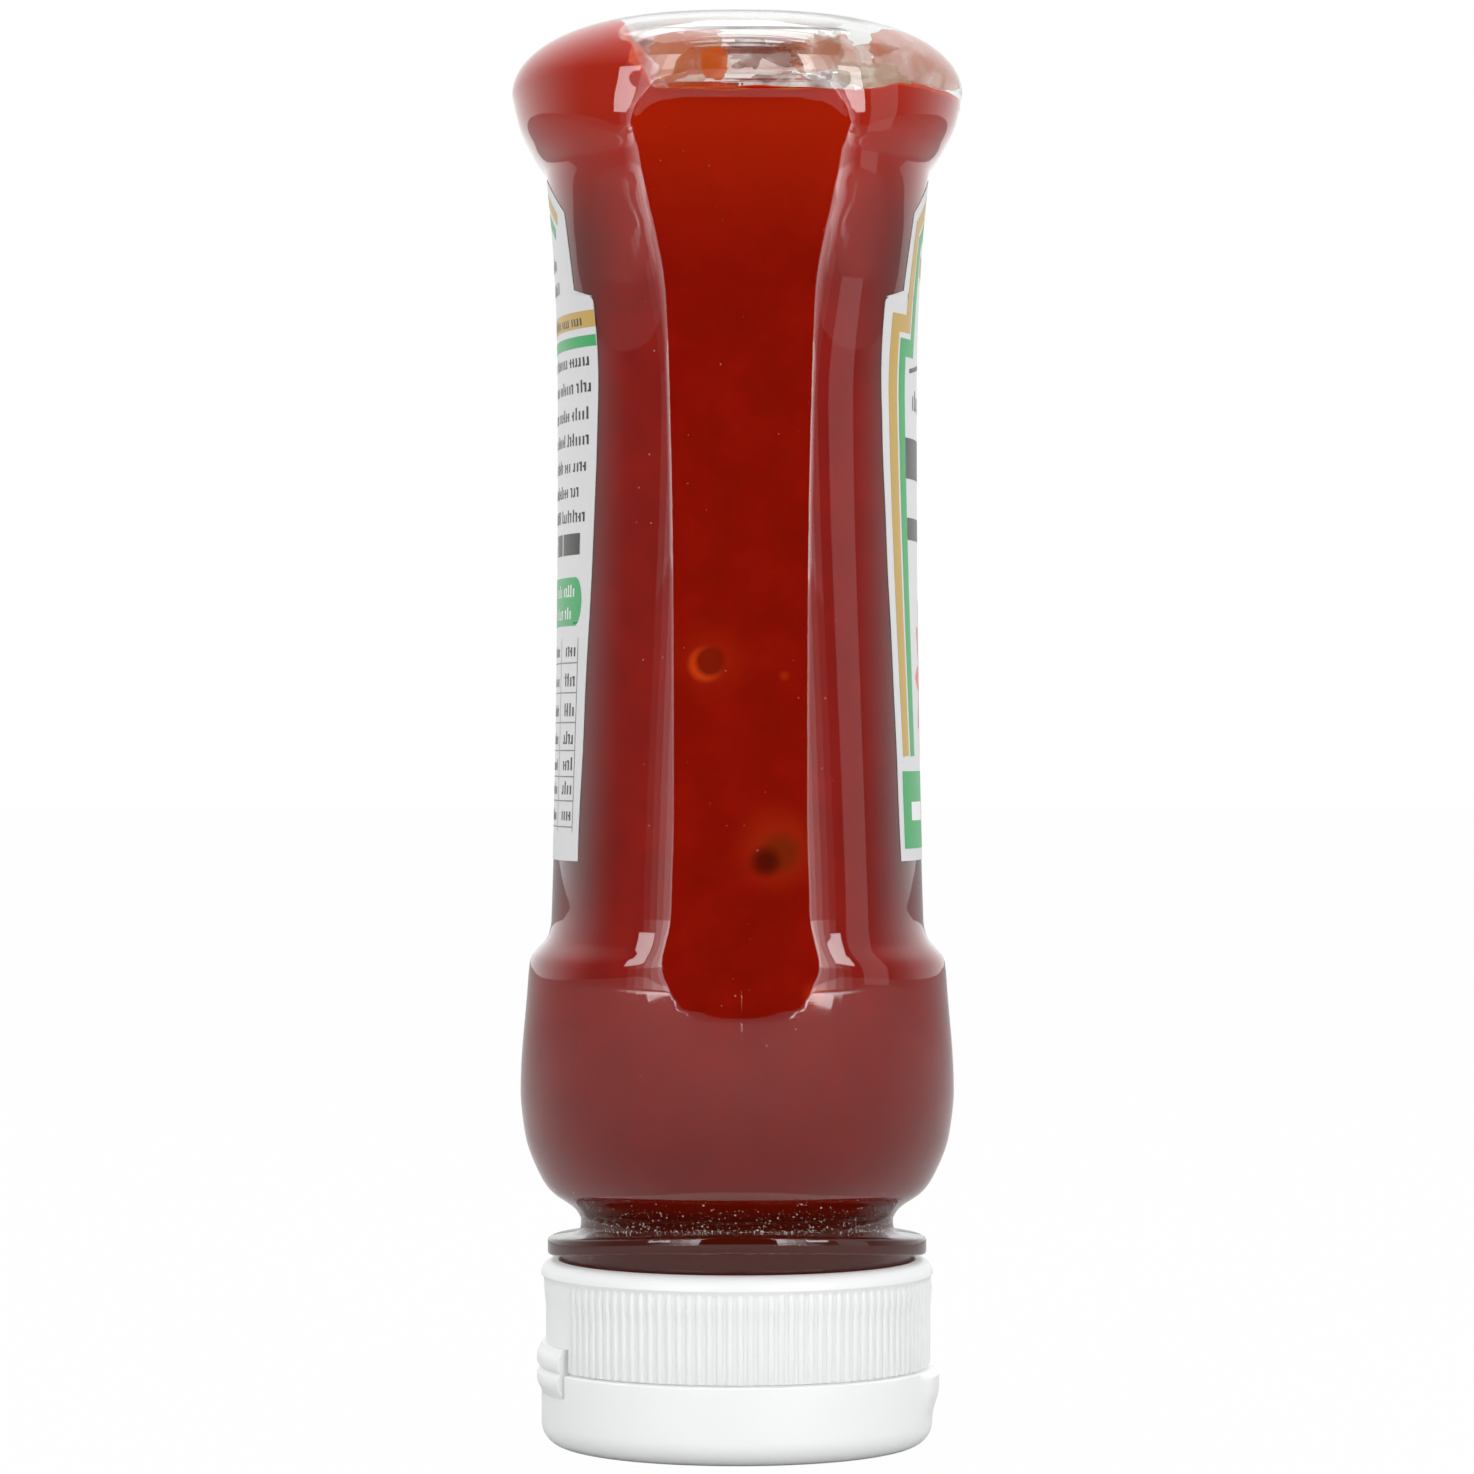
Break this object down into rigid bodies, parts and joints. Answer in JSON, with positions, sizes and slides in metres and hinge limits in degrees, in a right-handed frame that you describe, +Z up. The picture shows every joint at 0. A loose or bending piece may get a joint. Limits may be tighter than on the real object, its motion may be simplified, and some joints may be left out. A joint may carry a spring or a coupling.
{
  "type": "ketchup bottle",
  "caption": "Clear squeeze bottle of tomato ketchup, standing upside down on its white flip-top cap, with a label on its front and back.",
  "frame": {"origin": "on the floor under the middle of the cap that the bottle stands on", "axes": "+Z up from the cap to the bottle's base; +X to the front label and the lid's thumb tab; -X to the back label and the hinge; Y across the side panels"},
  "size_m": [0.0494, 0.0572, 0.155],
  "materials": {
    "clear_pet": "glossy clear PET",
    "ketchup": "smooth wet tomato ketchup",
    "label_front": "satin printed film",
    "label_back": "satin printed film",
    "cap_plastic": "satin white polypropylene"
  },
  "bodies": {
    "root": {"bottle": "clear_pet", "ketchup": "ketchup", "label_front": "label_front", "label_back": "label_back", "cap_collar": "cap_plastic", "cap_lid": "cap_plastic", "cap_hinge": "cap_plastic"}
  },
  "joints": []
}
